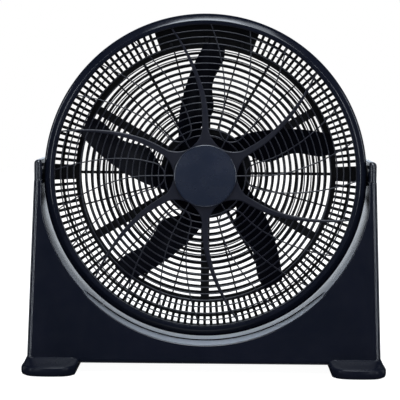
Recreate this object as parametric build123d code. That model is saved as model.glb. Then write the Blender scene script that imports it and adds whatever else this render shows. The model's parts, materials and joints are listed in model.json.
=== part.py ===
from build123d import *
from math import asin, cos, degrees, radians, sin, sqrt
import os

# A round-drum floor fan that tilts in a U-shaped cradle base.
# Axes: +Z up, the front faces -Y, the origin is on the floor under the middle of the fan.
# All sizes are in millimetres, all angles in degrees.

# ---- Driving dimensions ------------------------------------------------------------
PIVOT_Z = 336.0          # height of the tilt axis, which crosses the fan's own axis
DRUM_R = 276.0           # outside of the drum's front ring
DRUM_HALF_DEPTH = 62.0   # from the tilt axis to the crest of either ring
CREST_R = 263.5          # the front ring's highest circle
LIP_IN_R = 258.5         # inside of the front ring
BEVEL_BACK_Y = -55.5     # where the front ring's bevel turns into its steep edge
RING_EDGE_Y = -46.0
RING_BACK_Y = -42.0
SHELL_R = 274.0          # outside of the drum's cylindrical wall
SHELL_WALL = 3.0

# Cradle base
BASE_BOTTOM_Z = 18.5     # underside of the base between the feet
ARM_TOP_Z = 362.0        # top of the two arms
CAP_BOTTOM_Z = 326.5     # where the arm caps start
BASE_HALF_W_BOTTOM = 300.6
BASE_HALF_W_TOP = 291.2
BASE_HALF_D_BOTTOM = 95.0
BASE_HALF_D_TOP = 64.0
BASE_CORNER_R = 6.0      # outside corners of the base
ARM_INNER_X = 278.5      # flat inside face of each arm
TROUGH_R = 284.0         # round trough under the drum
TROUGH_BLEND_R = 150.0
LIP_R = 2.0              # soft edge round the trough
BASE_WALL = 3.0
CAP_STEP = 0.3           # how far a cap stands out past the arm
CAP_CORNER_R = 7.0
POCKET_DEPTH = 2.0       # shallow pocket sunk into the front of the trough
POCKET_BACK_Y = -33.0
POCKET_HALF_ANGLE = 45.0
BASE_SCREW_PLACES = [(262, 60), (110, 40), (-110, 40), (-262, 60)]
BASE_SCREW_HEAD_Y = 74.0
BASE_SCREW_TIP_Y = -12.0
BASE_BOSS_R = 7.0
BASE_PLATE_T = 3.0

# Feet
FOOT_INNER_X = 213.0
FOOT_OUTER_X = 308.8
FOOT_HALF_D = 138.0
FOOT_BOW = 8.0           # how far the rounded ends stand out past their corners
FOOT_CORNER_R = 22.0
FOOT_DRAFT = 3.0         # how much the foot narrows towards the floor
FOOT_EDGE_Z = 17.0       # height of the foot's rounded edge
FOOT_EDGE_R = 5.0
FOOT_CREST_Z = 30.0      # where the sloping top meets the base
FOOT_CREST_INNER_X = 211.0
FOOT_BOTTOM_Z = 1.0      # the pads stand out this far below the foot
PAD_T = 3.0
PAD_MARGIN = 5.0         # from the foot's edge to the pad's
PAD_LENGTH = 44.0
FOOT_SCREW_PLACES = [(side * 258, y) for side in (-1, 1) for y in (-66, -22, 22, 66)]
FOOT_SCREW_HEAD_Z = 5.0
FOOT_SCREW_HEAD_R = 4.5

# Front grille
GRILLE_FRONT_Y = -58.0
GRILLE_BACK_Y = -52.0
GRILLE_R = 262.0         # outside of the grille, behind the ring's lip
GRILLE_RIM_R = 258.3     # first circle of the grille's ring pattern
GRILLE_CORE_R = 69.0     # last circle of the pattern
GRILLE_RINGS = 17        # pitches between those two circles
SECTORS = 6              # main arms of the swirl
THIN_HALF = 1.0          # half width of a ring or a thin rib
ARM_HALF_CORE = 5.6      # half width of a main arm near the hub
ARM_HALF_RIM = 1.3       # and at the rim
ARM_CORE_R = 90.0
VALLEY_BOTTOM_R = 54.0   # the solid web reaches this far between two arms
VALLEY_TOP_R = 83.0
ARCH_BOTTOM_R = 69.0     # the side ribs join in an arch here
ARCH_TOP_R = 90.0
ARCH_HALF_ANGLE = 14.0
SWIRL_SLOPE = 0.0935     # degrees that a rib turns per millimetre of radius
SWIRL_START_R = 116.0
SWIRL_SOFTNESS = 20.0
BADGE_R = 53.0
BADGE_FRONT_Y = -64.0

# Rear grille
REAR_FRONT_Y = 46.0
REAR_BACK_Y = 52.0
REAR_R = SHELL_R - SHELL_WALL
REAR_DISC_R = 80.0       # solid disc that carries the motor
REAR_PITCH = 10.27
REAR_BAR_HALF = 2.3
REAR_BAND_IN = 220.4     # solid circular band
REAR_BAND_OUT = 229.6
REAR_SLOT_SPLIT_IN = 250.4
REAR_SLOT_SPLIT_OUT = 254.6
REAR_RIM_R = 269.0
REAR_SLOTS = 144         # fine radial slots round the edge
REAR_SLOT_BAR = 5.0
REAR_THICK_HALF = 7.5    # half width of the six wide spokes
REAR_MEDIUM_HALF = 2.4
REAR_THIN_HALF = 1.3
CONTROL_HALF_ANGLE = 20.0
PIVOT_BLOCK_HALF_ANGLE = 2.9

# Fan and motor
BLADES = 5
BLADE_ZERO_ANGLE = 13.5  # the first blade's straight edge
BLADE_TIP_R = 225.0
BLADE_HUB_R = 66.0
BLADE_MID_Y = -18.0
BLADE_T = 2.6
BLADE_FLARE = 15.0       # extra width near the tip, on the straight-edge side
SHAFT_R = 4.0
FIT = 0.05               # radial clearance of a running fit
MOTOR_R = 52.0
MOTOR_FRONT_Y = 6.0
MOTOR_SPLIT_Y = 28.0
MOTOR_BOLT_CIRCLE = 57.0
STATOR_FRONT_Y = 16.0
STATOR_BACK_Y = 40.0
ROTOR_R = 26.4
BEARING_R = 11.0
BEARING_LENGTH = 7.0
CASE_WALL = 3.0          # walls of the motor's bells
BEARING_BOSS_R = 15.0
LUG_R = 6.0
LUG_T = 8.0
WINDING_IN_R = 29.0
WINDING_OUT_R = 45.0
SHAFT_FRONT_Y = -46.0
SHAFT_BACK_Y = 45.0
DRIVE_PIN_R = 1.5
DRIVE_PIN_LENGTH = 18.0
DRIVE_PIN_Y = -10.0
HUB_FRONT_Y = -34.0
HUB_BACK_Y = 3.0
NUT_R = 14.0
NUT_BACK_Y = HUB_FRONT_Y
NUT_FRONT_Y = -48.0
NUT_GRIPS = 12

# Control housing, handle and knob on the back of the drum
HOUSING_IN_R = 228.0
HOUSING_OUT_R = 265.5
HOUSING_BACK_Y = 80.0
HOUSING_WALL = 2.5
HANDLE_IN_R = 252.0
HANDLE_OUT_R = 266.0
HANDLE_FRONT_Y = 104.0
HANDLE_BACK_Y = 120.0
HANDLE_POST_ANGLE = 4.5
KNOB_ANGLE = 81.0
KNOB_CIRCLE = 246.0
KNOB_R = 15.0
GLAND_ANGLE = 102.0
GLAND_CIRCLE = 236.0
LEAD_R = 3.0
LEAD_TURN_Z = 236.0      # above the fan's axis, where the motor lead turns to the back

# Tilt pivots
PIN_R = 6.0
PIN_HEAD_R = 11.0
PIN_LENGTH = 7.0         # how far the pin reaches into the arm
BUSH_R = 8.0
BUSH_FLANGE_R = 9.0
BUSH_LENGTH = 7.5
BOSS_R = 18.0
BOSS_DEPTH = 6.0         # the boss inside the drum's wall
WASHER_T = 2.0
PIVOT_GAP = 0.3          # between the turning boss and the washer


# ---- Helpers -----------------------------------------------------------------------
def polar(radius, angle):
    """A point of the front view, measured from the fan's axis."""
    return (radius * cos(radians(angle)), radius * sin(radians(angle)))


def at_axis(shape):
    """Lift a shape made round the origin up to the fan's axis."""
    return Pos(0, 0, PIVOT_Z) * shape


def turned(points):
    """A solid of revolution about the fan's axis; the points are (radius, y)."""
    return at_axis(revolve(Polygon(*points, align=None), Axis.Y))


def slab(sketch, y_front, y_back):
    """A front-view sketch, drawn as (x, z), made solid between two depths."""
    placed = Plane.XZ.offset(-y_back) * sketch
    return extrude(placed, y_back - y_front)


def rod_y(x, z, radius, y_front, y_back):
    """A round bar along Y; x and z are measured from the fan's axis."""
    return at_axis(slab(Pos(x, z) * Circle(radius), y_front, y_back))


def rod_x(radius, x_start, x_end):
    """A round bar on the tilt axis."""
    bar = extrude(Plane.YZ.offset(x_start) * Circle(radius), x_end - x_start)
    return at_axis(bar)


def outline(r_in, r_out, start, end, bowed=False):
    """The closed outline between two radii and two edges given as angle(radius)."""
    r_mid = (r_in + r_out) / 2

    def arc(radius, first, last):
        middle = (first + last) / 2
        points = [polar(radius, angle) for angle in (first, middle, last)]
        return Edge.make_three_point_arc(*points)

    def side(edge, r_from, r_to):
        ends = polar(r_from, edge(r_from)), polar(r_to, edge(r_to))
        if bowed:
            return Edge.make_three_point_arc(ends[0], polar(r_mid, edge(r_mid)), ends[1])
        return Edge.make_line(*ends)

    return Wire([
        arc(r_out, start(r_out), end(r_out)),
        side(end, r_out, r_in),
        arc(r_in, end(r_in), start(r_in)),
        side(start, r_in, r_out),
    ])


def sector(r_in, r_out, start_angle, end_angle, y_front, y_back):
    """A solid piece of a ring between two angles."""
    wire = outline(r_in, r_out, lambda r: start_angle, lambda r: end_angle)
    return at_axis(slab(Face(wire), y_front, y_back))


def pierced_disc(radius, holes, y_front, y_back):
    """A round plate with many holes, made in one extrusion."""
    face = Face(Wire.make_circle(radius), holes)
    placed = Plane.XZ.offset(-y_back).location * face
    return at_axis(Solid.extrude(placed, Vector(0, y_front - y_back, 0)))


def dome(edge_r, edge_y, crown_y):
    """An arc from the fan's axis, where it is level, out to an edge; in (radius, y)."""
    sag = abs(crown_y - edge_y)
    sphere_r = (edge_r ** 2 + sag ** 2) / (2 * sag)
    middle_r = edge_r / 2
    middle_sag = sphere_r - sqrt(sphere_r ** 2 - middle_r ** 2)
    middle_y = crown_y + (middle_sag if edge_y > crown_y else -middle_sag)
    return ThreePointArc((0, crown_y), (middle_r, middle_y), (edge_r, edge_y))


def half_angle(half_width, radius):
    """The angle that a bar's half width covers at a radius."""
    return degrees(asin(half_width / radius))


def mirrored(shape):
    """The same piece on the other side of the fan."""
    return mirror(shape, Plane.YZ)


def screw_y(x, z, y_head, y_tip, shaft_r=2.0, head_r=4.0, head_t=3.0):
    """A pan-head screw along Y, placed from the fan's axis, with its head at y_head."""
    toward_tip = 1 if y_tip > y_head else -1
    y_neck = y_head + toward_tip * head_t
    shaft = rod_y(x, z, shaft_r, min(y_neck, y_tip), max(y_neck, y_tip))
    head = rod_y(x, z, head_r, min(y_head, y_neck), max(y_head, y_neck))
    return shaft + head


# ---- Cradle base -------------------------------------------------------------------
def side_profile(half_bottom, half_top, z_bottom, z_top):
    """The base seen from the side: deep at the floor and narrow at the arms."""
    corners = [(-half_bottom, z_bottom), (half_bottom, z_bottom), (half_top, z_top), (-half_top, z_top)]
    plane = Plane.YZ.offset(-BASE_HALF_W_BOTTOM - 10)
    return extrude(plane * Polygon(*corners, align=None), 2 * BASE_HALF_W_BOTTOM + 20)


def depth_at(z):
    """Half the base's depth at a height."""
    rise = (z - BASE_BOTTOM_Z) / (ARM_TOP_Z - BASE_BOTTOM_Z)
    return BASE_HALF_D_BOTTOM + rise * (BASE_HALF_D_TOP - BASE_HALF_D_BOTTOM)


def cradle_opening(grow):
    """The front view of the space that the drum tilts in, made larger by grow."""
    width = 2 * (ARM_INNER_X + grow)
    above = Pos(0, PIVOT_Z + DRUM_R / 2) * Rectangle(width, DRUM_R)
    trough = Pos(0, PIVOT_Z) * (Circle(TROUGH_R + grow) & Rectangle(width, 3 * DRUM_R))
    opening = above + trough
    corners = [
        v for v in opening.vertices()
        if abs(abs(v.X) - width / 2) < 0.01 and PIVOT_Z - DRUM_R < v.Y < PIVOT_Z - 10
    ]
    return fillet(corners, TROUGH_BLEND_R)


def base_block(inset):
    """The cradle as a solid, with every wall moved in by inset and the bottom left open."""
    half_bottom = BASE_HALF_W_BOTTOM - inset
    half_top = BASE_HALF_W_TOP - inset
    top_z = CAP_BOTTOM_Z - inset
    lean = (BASE_HALF_W_TOP - BASE_HALF_W_BOTTOM) * (CAP_BOTTOM_Z - BASE_BOTTOM_Z)
    lean /= ARM_TOP_Z - BASE_BOTTOM_Z
    top_half_w = half_bottom + lean
    corners = [(-half_bottom, BASE_BOTTOM_Z), (half_bottom, BASE_BOTTOM_Z)]
    corners += [(top_half_w, top_z), (-top_half_w, top_z)]
    front_view = Polygon(*corners, align=None) - cradle_opening(inset)
    block = slab(front_view, -BASE_HALF_D_BOTTOM - 5, BASE_HALF_D_BOTTOM + 5)
    depths = (BASE_HALF_D_BOTTOM - inset, BASE_HALF_D_TOP - inset)
    return block & side_profile(*depths, BASE_BOTTOM_Z, ARM_TOP_Z)


def trough_pocket():
    """The shallow pocket at the front of the trough."""
    first, last = 270 - POCKET_HALF_ANGLE, 270 + POCKET_HALF_ANGLE
    r_out = TROUGH_R + POCKET_DEPTH
    return sector(TROUGH_R - 5, r_out, first, last, -BASE_HALF_D_BOTTOM - 5, POCKET_BACK_Y)


def base_screws():
    """Four long screws that pull the two halves of the base together."""
    return Compound([
        screw_y(x, z - PIVOT_Z, BASE_SCREW_HEAD_Y, BASE_SCREW_TIP_Y, head_r=4.5, head_t=4)
        for x, z in BASE_SCREW_PLACES
    ])


def rounded_base_block():
    """The base's outer form, with soft outside corners and a soft lip round the trough."""
    block = base_block(0)
    corners = [
        e for e in block.edges()
        if e.length > 200 and abs(e.center().X) > ARM_INNER_X + 10
    ]
    block = fillet(corners, BASE_CORNER_R)
    opening = cradle_opening(0).edges()

    def is_on_lip(edge):
        middle = edge @ 0.5
        gap = min(abs(o.distance_to(Vector(middle.X, middle.Z, 0))) for o in opening)
        at_wall = abs(edge.center().Y) > BASE_HALF_D_TOP
        return at_wall and gap < 0.5 and edge.center().Z < CAP_BOTTOM_Z - 1

    return fillet([e for e in block.edges() if is_on_lip(e)], LIP_R)


def base_shells():
    """The front and rear mouldings of the cradle, joined on the plane y = 0."""
    shell = rounded_base_block() - trough_pocket() - base_block(BASE_WALL)
    for x, z in BASE_SCREW_PLACES:
        reach = depth_at(z) - BASE_WALL / 2
        shell += rod_y(x, z - PIVOT_Z, BASE_BOSS_R, -reach, reach)
        shell -= rod_y(x, z - PIVOT_Z, BASE_BOSS_R - 2, BASE_SCREW_HEAD_Y, BASE_HALF_D_BOTTOM + 5)
    shell -= base_screws()
    front = split(shell, Plane.XZ, keep=Keep.TOP)
    rear = split(shell, Plane.XZ, keep=Keep.BOTTOM)
    return front, rear


def upright(x, y, radius, z_bottom, z_top):
    """A round bar along Z."""
    align = (Align.CENTER, Align.CENTER, Align.MIN)
    return Pos(x, y, z_bottom) * Cylinder(radius, z_top - z_bottom, align=align)


def foot_screws():
    """Screws driven up through the feet into the base's bottom plate."""
    neck_z = FOOT_SCREW_HEAD_Z + 3
    tip_z = BASE_BOTTOM_Z + BASE_PLATE_T
    return Compound([
        upright(x, y, FOOT_SCREW_HEAD_R, FOOT_SCREW_HEAD_Z, neck_z) + upright(x, y, 2, neck_z, tip_z)
        for x, y in FOOT_SCREW_PLACES
    ])


def foot_plan(inset):
    """The right foot from above: straight sides, bowed ends and round corners."""
    x_in, x_out = FOOT_INNER_X + inset, FOOT_OUTER_X - inset
    x_mid = (x_in + x_out) / 2
    y_end = FOOT_HALF_D - inset
    y_corner = y_end - FOOT_BOW
    edges = [
        Line((x_in, -y_corner), (x_in, y_corner)),
        ThreePointArc((x_in, y_corner), (x_mid, y_end), (x_out, y_corner)),
        Line((x_out, y_corner), (x_out, -y_corner)),
        ThreePointArc((x_out, -y_corner), (x_mid, -y_end), (x_in, -y_corner)),
    ]
    plan = make_face(edges)
    return fillet(plan.vertices(), FOOT_CORNER_R)


def foot_slopes():
    """The rise from the foot's edge to the base's walls, at the front, back and outside."""
    y_edge, y_crest = FOOT_HALF_D - 12, depth_at(FOOT_CREST_Z)
    from_side = Polygon(
        (-y_edge, FOOT_EDGE_Z), (y_edge, FOOT_EDGE_Z), (y_crest, FOOT_CREST_Z), (-y_crest, FOOT_CREST_Z),
        align=None,
    )
    from_front = Polygon(
        (FOOT_INNER_X, FOOT_EDGE_Z), (FOOT_OUTER_X - 2, FOOT_EDGE_Z),
        (BASE_HALF_W_BOTTOM, FOOT_CREST_Z), (FOOT_CREST_INNER_X, FOOT_CREST_Z),
        align=None,
    )
    along_x = extrude(Plane.YZ.offset(FOOT_CREST_INNER_X) * from_side, FOOT_OUTER_X - FOOT_CREST_INNER_X)
    return along_x & slab(from_front, -FOOT_HALF_D, FOOT_HALF_D)


def right_foot():
    """A foot that carries one end of the base and slopes up to meet its walls."""
    floor_plan = Pos(0, 0, FOOT_BOTTOM_Z) * foot_plan(FOOT_DRAFT)
    sole = loft([floor_plan, Pos(0, 0, FOOT_EDGE_Z) * foot_plan(0)])
    sole = fillet(sole.faces().sort_by(Axis.Z)[-1].edges(), FOOT_EDGE_R)
    foot = sole + foot_slopes() - base_block(0)
    for x, y in FOOT_SCREW_PLACES:
        foot -= upright(x, y, FOOT_SCREW_HEAD_R, 0, FOOT_SCREW_HEAD_Z)
    return foot - foot_screws() - foot_pads()


def foot_pads():
    """Four rubber pads, one under each end of each foot."""
    strip = Pos(0, FOOT_HALF_D - 4 - PAD_LENGTH / 2) * Rectangle(700, PAD_LENGTH)
    plan = foot_plan(FOOT_DRAFT + PAD_MARGIN) & strip
    rear_right = extrude(plan, PAD_T)
    pads = [rear_right, mirror(rear_right, Plane.XZ)]
    return Compound(pads + [mirrored(pad) for pad in pads])


def bottom_plate():
    """The flat cover that closes the base from below."""
    half_w = BASE_HALF_W_BOTTOM - BASE_WALL - 0.5
    half_d = BASE_HALF_D_BOTTOM - BASE_WALL - 0.5
    center = Pos(0, 0, BASE_BOTTOM_Z + BASE_PLATE_T / 2)
    return center * Box(2 * half_w, 2 * half_d, BASE_PLATE_T) - foot_screws()


def right_arm_cap():
    """The hollow cap on top of an arm, which holds the tilt bush."""
    width = BASE_HALF_W_TOP + CAP_STEP - ARM_INNER_X
    height = ARM_TOP_Z - CAP_BOTTOM_Z
    depth = 2 * depth_at(CAP_BOTTOM_Z)
    center = Pos(ARM_INNER_X + width / 2, 0, CAP_BOTTOM_Z + height / 2)
    cap = center * Box(width, depth, height)
    top_outer = cap.edges().filter_by(Axis.Y).sort_by(lambda e: e.center().X + e.center().Z)[-1]
    cap = fillet(top_outer, CAP_CORNER_R)
    room = Box(width - 2 * BASE_WALL, depth - 2 * BASE_WALL, height)
    cavity = Pos(0, 0, -BASE_WALL) * center * room
    return cap - cavity - rod_x(BUSH_R, ARM_INNER_X - 1, ARM_INNER_X + BASE_WALL + 1)


# ---- Tilt pivots -------------------------------------------------------------------
def right_pivot_bush():
    """The flanged bush that the pivot pin turns in."""
    sleeve = rod_x(BUSH_R, ARM_INNER_X, ARM_INNER_X + BUSH_LENGTH)
    flange = rod_x(BUSH_FLANGE_R, ARM_INNER_X + BASE_WALL, ARM_INNER_X + BASE_WALL + 2.5)
    return sleeve + flange - rod_x(PIN_R + FIT, ARM_INNER_X - 1, ARM_INNER_X + BUSH_LENGTH + 1)


def right_friction_washer():
    """The washer against the arm that gives the tilt its drag."""
    washer = rod_x(BOSS_R, ARM_INNER_X - WASHER_T, ARM_INNER_X)
    return washer - rod_x(PIN_R + 0.5, ARM_INNER_X - WASHER_T - 1, ARM_INNER_X + 1)


def right_pivot_pin():
    """The pin fixed in the drum, with its head inside the drum's wall."""
    head_x = REAR_R - BOSS_DEPTH
    head = rod_x(PIN_HEAD_R, head_x - 3, head_x)
    return head + rod_x(PIN_R, head_x, ARM_INNER_X + PIN_LENGTH)


# ---- Drum --------------------------------------------------------------------------
def drum_shell():
    """The cylindrical wall of the drum, with a flat boss at each pivot."""
    wall = turned([
        (REAR_R, -REAR_FRONT_Y), (SHELL_R, -REAR_FRONT_Y),
        (SHELL_R, REAR_BACK_Y), (REAR_R, REAR_BACK_Y),
    ])
    boss = rod_x(BOSS_R, REAR_R - BOSS_DEPTH, ARM_INNER_X - WASHER_T - PIVOT_GAP)
    shell = wall + boss + mirrored(boss)
    bore = rod_x(PIN_R, REAR_R - BOSS_DEPTH - 1, ARM_INNER_X)
    return shell - bore - mirrored(bore)


def front_ring():
    """The front bezel: an inner lip, a crest, a sloping bevel and a steep outer edge."""
    crest = (CREST_R, -DRUM_HALF_DEPTH)
    bevel_end = (DRUM_R - 4, BEVEL_BACK_Y)
    edge_middle = (DRUM_R - 1, (BEVEL_BACK_Y + RING_EDGE_Y) / 2)
    edge_end = (DRUM_R, RING_EDGE_Y)
    lip_back, lip_front = (LIP_IN_R, GRILLE_FRONT_Y), (LIP_IN_R, GRILLE_FRONT_Y - 2)
    profile = [
        Line(crest, bevel_end),
        ThreePointArc(bevel_end, edge_middle, edge_end),
        Polyline(edge_end, (DRUM_R, RING_BACK_Y), (SHELL_R, RING_BACK_Y), (SHELL_R, -REAR_FRONT_Y),
                 (GRILLE_R, -REAR_FRONT_Y), (GRILLE_R, GRILLE_FRONT_Y), lip_back, lip_front, crest),
    ]
    return at_axis(revolve(make_face(profile), Axis.Y))


def rear_ring():
    """The rear bezel that clamps the rear grille into the drum."""
    return turned([
        (REAR_RIM_R, REAR_BACK_Y), (SHELL_R, REAR_BACK_Y), (SHELL_R, REAR_BACK_Y + 1),
        (SHELL_R - 2.5, DRUM_HALF_DEPTH - 1), (REAR_RIM_R + 1.5, DRUM_HALF_DEPTH),
        (REAR_RIM_R, DRUM_HALF_DEPTH - 1),
    ])


def swirl(radius):
    """How far a rib of the front grille has turned at a radius."""
    run = radius - SWIRL_START_R
    return SWIRL_SLOPE / 2 * (run + sqrt(run ** 2 + SWIRL_SOFTNESS ** 2))


def valley(radius):
    """Half the angle between two main arms of the front grille."""
    slope = (ARM_HALF_RIM - ARM_HALF_CORE) / (GRILLE_RIM_R - ARM_CORE_R)
    arm_half = ARM_HALF_CORE + slope * (max(radius, VALLEY_TOP_R) - ARM_CORE_R)
    opening = 180 / SECTORS - half_angle(arm_half, max(radius, VALLEY_TOP_R))
    depth = max(0, VALLEY_TOP_R - radius) / (VALLEY_TOP_R - VALLEY_BOTTOM_R)
    return opening * sqrt(1 - depth ** 2)


def side_rib(radius):
    """Angle from the middle rib to a side rib, closing to an arch near the hub."""
    spread = 1 + max(0, radius - ARCH_TOP_R) / (GRILLE_RIM_R - ARCH_TOP_R) / ARCH_HALF_ANGLE
    depth = max(0, ARCH_TOP_R - radius) / (ARCH_TOP_R - ARCH_BOTTOM_R)
    return ARCH_HALF_ANGLE * spread * sqrt(max(0, 1 - depth ** 2))


def front_grille_cells():
    """The openings of the front grille, ring by ring and rib by rib."""
    pitch = (GRILLE_RIM_R - GRILLE_CORE_R) / GRILLE_RINGS
    thin = lambda r: half_angle(THIN_HALF, r)
    gaps = [
        (lambda r: thin(r), lambda r: side_rib(r) - thin(r)),
        (lambda r: side_rib(r) + thin(r), valley),
    ]
    cells = []
    for sector_index in range(SECTORS):
        middle = sector_index * 360 / SECTORS
        for hand in (-1, 1):
            place = lambda edge: (lambda r: middle + swirl(r) + hand * edge(r))
            for ring in range(GRILLE_RINGS):
                r_out = GRILLE_RIM_R - ring * pitch - THIN_HALF
                r_in = r_out - pitch + 2 * THIN_HALF
                for near, far in gaps:
                    cells.append(outline(r_in, r_out, place(near), place(far)))
            lowest = (VALLEY_BOTTOM_R + 2, GRILLE_CORE_R - THIN_HALF)
            cells.append(outline(*lowest, place(thin), place(valley), bowed=True))
    return cells


def front_grille():
    return pierced_disc(GRILLE_R, front_grille_cells(), GRILLE_FRONT_Y, GRILLE_BACK_Y)


def hub_badge():
    """The plain, slightly domed disc in the middle of the front grille."""
    edge_y = GRILLE_FRONT_Y - 3
    face = dome(BADGE_R, edge_y, BADGE_FRONT_Y)
    rest = Polyline(
        (BADGE_R, edge_y), (BADGE_R, GRILLE_FRONT_Y), (0, GRILLE_FRONT_Y), (0, BADGE_FRONT_Y),
    )
    return at_axis(revolve(make_face([face, rest]), Axis.Y))


def spoke_half(index):
    """Half the width of the rear grille's spoke number index, one every 15 degrees."""
    if index % 4 == 2:
        return REAR_THICK_HALF
    return REAR_MEDIUM_HALF if index % 4 == 0 else REAR_THIN_HALF


def rear_ring_cells():
    """The openings between the rear grille's disc and its solid band."""
    spokes = 24
    step = 360 / spokes
    cells = []
    disc_ring_r = REAR_DISC_R - REAR_BAR_HALF
    ring_count = round((REAR_BAND_IN - disc_ring_r) / REAR_PITCH)
    for ring in range(ring_count):
        r_in = disc_ring_r + ring * REAR_PITCH + REAR_BAR_HALF
        r_out = min(REAR_BAND_IN, r_in + REAR_PITCH - 2 * REAR_BAR_HALF)
        for index in range(spokes):
            near, far = spoke_half(index), spoke_half((index + 1) % spokes)
            start = lambda r, i=index, w=near: i * step + half_angle(w, r)
            end = lambda r, i=index, w=far: (i + 1) * step - half_angle(w, r)
            cells.append(outline(r_in, r_out, start, end))
    return cells


def is_blocked(angle):
    """True where the rear grille's edge is solid: behind the controls and at the pivots."""
    at_controls = abs(angle - 90) < CONTROL_HALF_ANGLE
    at_pivot = min(abs(angle - 180), angle, 360 - angle) < PIVOT_BLOCK_HALF_ANGLE
    return at_controls or at_pivot


def rear_slot_cells():
    """The two rows of fine radial slots round the rear grille's edge."""
    rows = [(REAR_BAND_OUT, REAR_SLOT_SPLIT_IN), (REAR_SLOT_SPLIT_OUT, REAR_RIM_R)]
    step = 360 / REAR_SLOTS
    bar = lambda r: half_angle(REAR_SLOT_BAR / 2, r)
    cells = []
    for slot in range(REAR_SLOTS):
        middle = (slot + 0.5) * step
        if is_blocked(middle):
            continue
        start = lambda r, m=middle: m - step / 2 + bar(r)
        end = lambda r, m=middle: m + step / 2 - bar(r)
        cells += [outline(r_in, r_out, start, end) for r_in, r_out in rows]
    return cells


def round_hole(x, z, radius):
    """A circular hole in a front-view plate."""
    return Wire.make_circle(radius, Plane((x, z, 0)))


def rear_grille():
    """The one-piece rear grille with the motor's disc and holes for bolts and lead."""
    holes = [round_hole(*place, 2) for place in motor_bolt_places()]
    holes += [round_hole(*place, 1.5) for place in cover_screw_places()]
    holes += [round_hole(*place, 1.5) for place in housing_screw_places()]
    holes.append(round_hole(0, LEAD_TURN_Z, LEAD_R + 0.5))
    cells = rear_ring_cells() + rear_slot_cells()
    return pierced_disc(REAR_R, cells + holes, REAR_FRONT_Y, REAR_BACK_Y)


# ---- Motor -------------------------------------------------------------------------
def motor_bolt_places():
    return [polar(MOTOR_BOLT_CIRCLE, 45 + 90 * i) for i in range(4)]


def motor_lugs(y_front, y_back):
    """Four lugs on a motor bell, one for each bolt."""
    lugs = [rod_y(x, z, LUG_R, y_front, y_back) for x, z in motor_bolt_places()]
    return lugs[0] + lugs[1] + lugs[2] + lugs[3] - rod_y(0, 0, MOTOR_R - 1, y_front - 1, y_back + 1)


def motor_bolts():
    """The bolts that clamp both bells to the rear grille."""
    head_y = MOTOR_SPLIT_Y - LUG_T - 3
    return Compound([screw_y(x, z, head_y, REAR_BACK_Y - 1) for x, z in motor_bolt_places()])


def motor_front_bell():
    inner_r, inside_y = MOTOR_R - CASE_WALL, MOTOR_FRONT_Y + CASE_WALL
    cup = turned([
        (BEARING_R, 0), (BEARING_BOSS_R, 0), (BEARING_BOSS_R, MOTOR_FRONT_Y), (inner_r, MOTOR_FRONT_Y),
        (MOTOR_R, inside_y), (MOTOR_R, MOTOR_SPLIT_Y), (inner_r, MOTOR_SPLIT_Y),
        (inner_r, inside_y), (BEARING_R, inside_y),
    ])
    return cup + motor_lugs(MOTOR_SPLIT_Y - LUG_T, MOTOR_SPLIT_Y) - motor_bolts()


def motor_rear_bell():
    inner_r, inside_y = MOTOR_R - CASE_WALL, REAR_FRONT_Y - CASE_WALL
    boss_y = inside_y - 5
    cup = turned([
        (BEARING_R, boss_y), (BEARING_BOSS_R, boss_y), (BEARING_BOSS_R, inside_y),
        (inner_r, inside_y), (inner_r, MOTOR_SPLIT_Y), (MOTOR_R, MOTOR_SPLIT_Y),
        (MOTOR_R, REAR_FRONT_Y), (BEARING_R, REAR_FRONT_Y),
    ])
    return cup + motor_lugs(MOTOR_SPLIT_Y, REAR_FRONT_Y) - motor_bolts()


def bearing(y_front):
    y_back = y_front + BEARING_LENGTH
    inner = SHAFT_R + FIT
    return turned([(inner, y_front), (BEARING_R, y_front), (BEARING_R, y_back), (inner, y_back)])


def stator_core():
    """The stack of laminations, held in the bells."""
    inner, outer = ROTOR_R + 0.6, MOTOR_R - CASE_WALL
    return turned([
        (inner, STATOR_FRONT_Y), (outer, STATOR_FRONT_Y),
        (outer, STATOR_BACK_Y), (inner, STATOR_BACK_Y),
    ])


def end_turn(y_front, y_back):
    """One ring of copper windings at an end of the laminations."""
    return turned([
        (WINDING_IN_R, y_front), (WINDING_OUT_R, y_front),
        (WINDING_OUT_R, y_back), (WINDING_IN_R, y_back),
    ])


def stator_windings():
    """The copper end turns in front of and behind the laminations."""
    front = end_turn(MOTOR_FRONT_Y + CASE_WALL + 1, STATOR_FRONT_Y)
    return Compound([front, end_turn(STATOR_BACK_Y, REAR_FRONT_Y - CASE_WALL - 0.4)])


def rotor_core():
    return turned([
        (SHAFT_R, STATOR_FRONT_Y), (ROTOR_R, STATOR_FRONT_Y),
        (ROTOR_R, STATOR_BACK_Y - 3), (SHAFT_R, STATOR_BACK_Y - 3),
    ])


def motor_shaft():
    return rod_y(0, 0, SHAFT_R, SHAFT_FRONT_Y, SHAFT_BACK_Y) - drive_pin()


def drive_pin():
    """The cross pin that carries the motor's torque into the fan's hub."""
    return at_axis(Pos(0, DRIVE_PIN_Y, 0) * Cylinder(DRIVE_PIN_R, DRIVE_PIN_LENGTH))


def cover_screw_places():
    return [polar(75, 30 + 120 * i) for i in range(3)]


def cover_screws():
    return Compound([
        screw_y(x, z, 58, REAR_FRONT_Y + 1, shaft_r=1.5, head_r=3, head_t=3)
        for x, z in cover_screw_places()
    ])


def motor_rear_cover():
    """The domed cover behind the motor."""
    flange_y, crown_y, dome_r = 55.0, 74.0, 70.0
    outer = dome(dome_r, flange_y, crown_y)
    inner = dome(dome_r - 3, REAR_BACK_Y, crown_y - 2.5)
    face = make_face([
        outer,
        Line((0, crown_y), (0, crown_y - 2.5)),
        inner,
        Polyline((dome_r - 3, REAR_BACK_Y), (REAR_DISC_R, REAR_BACK_Y), (REAR_DISC_R, flange_y),
                 (dome_r, flange_y)),
    ])
    return at_axis(revolve(face, Axis.Y)) - cover_screws()


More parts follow.
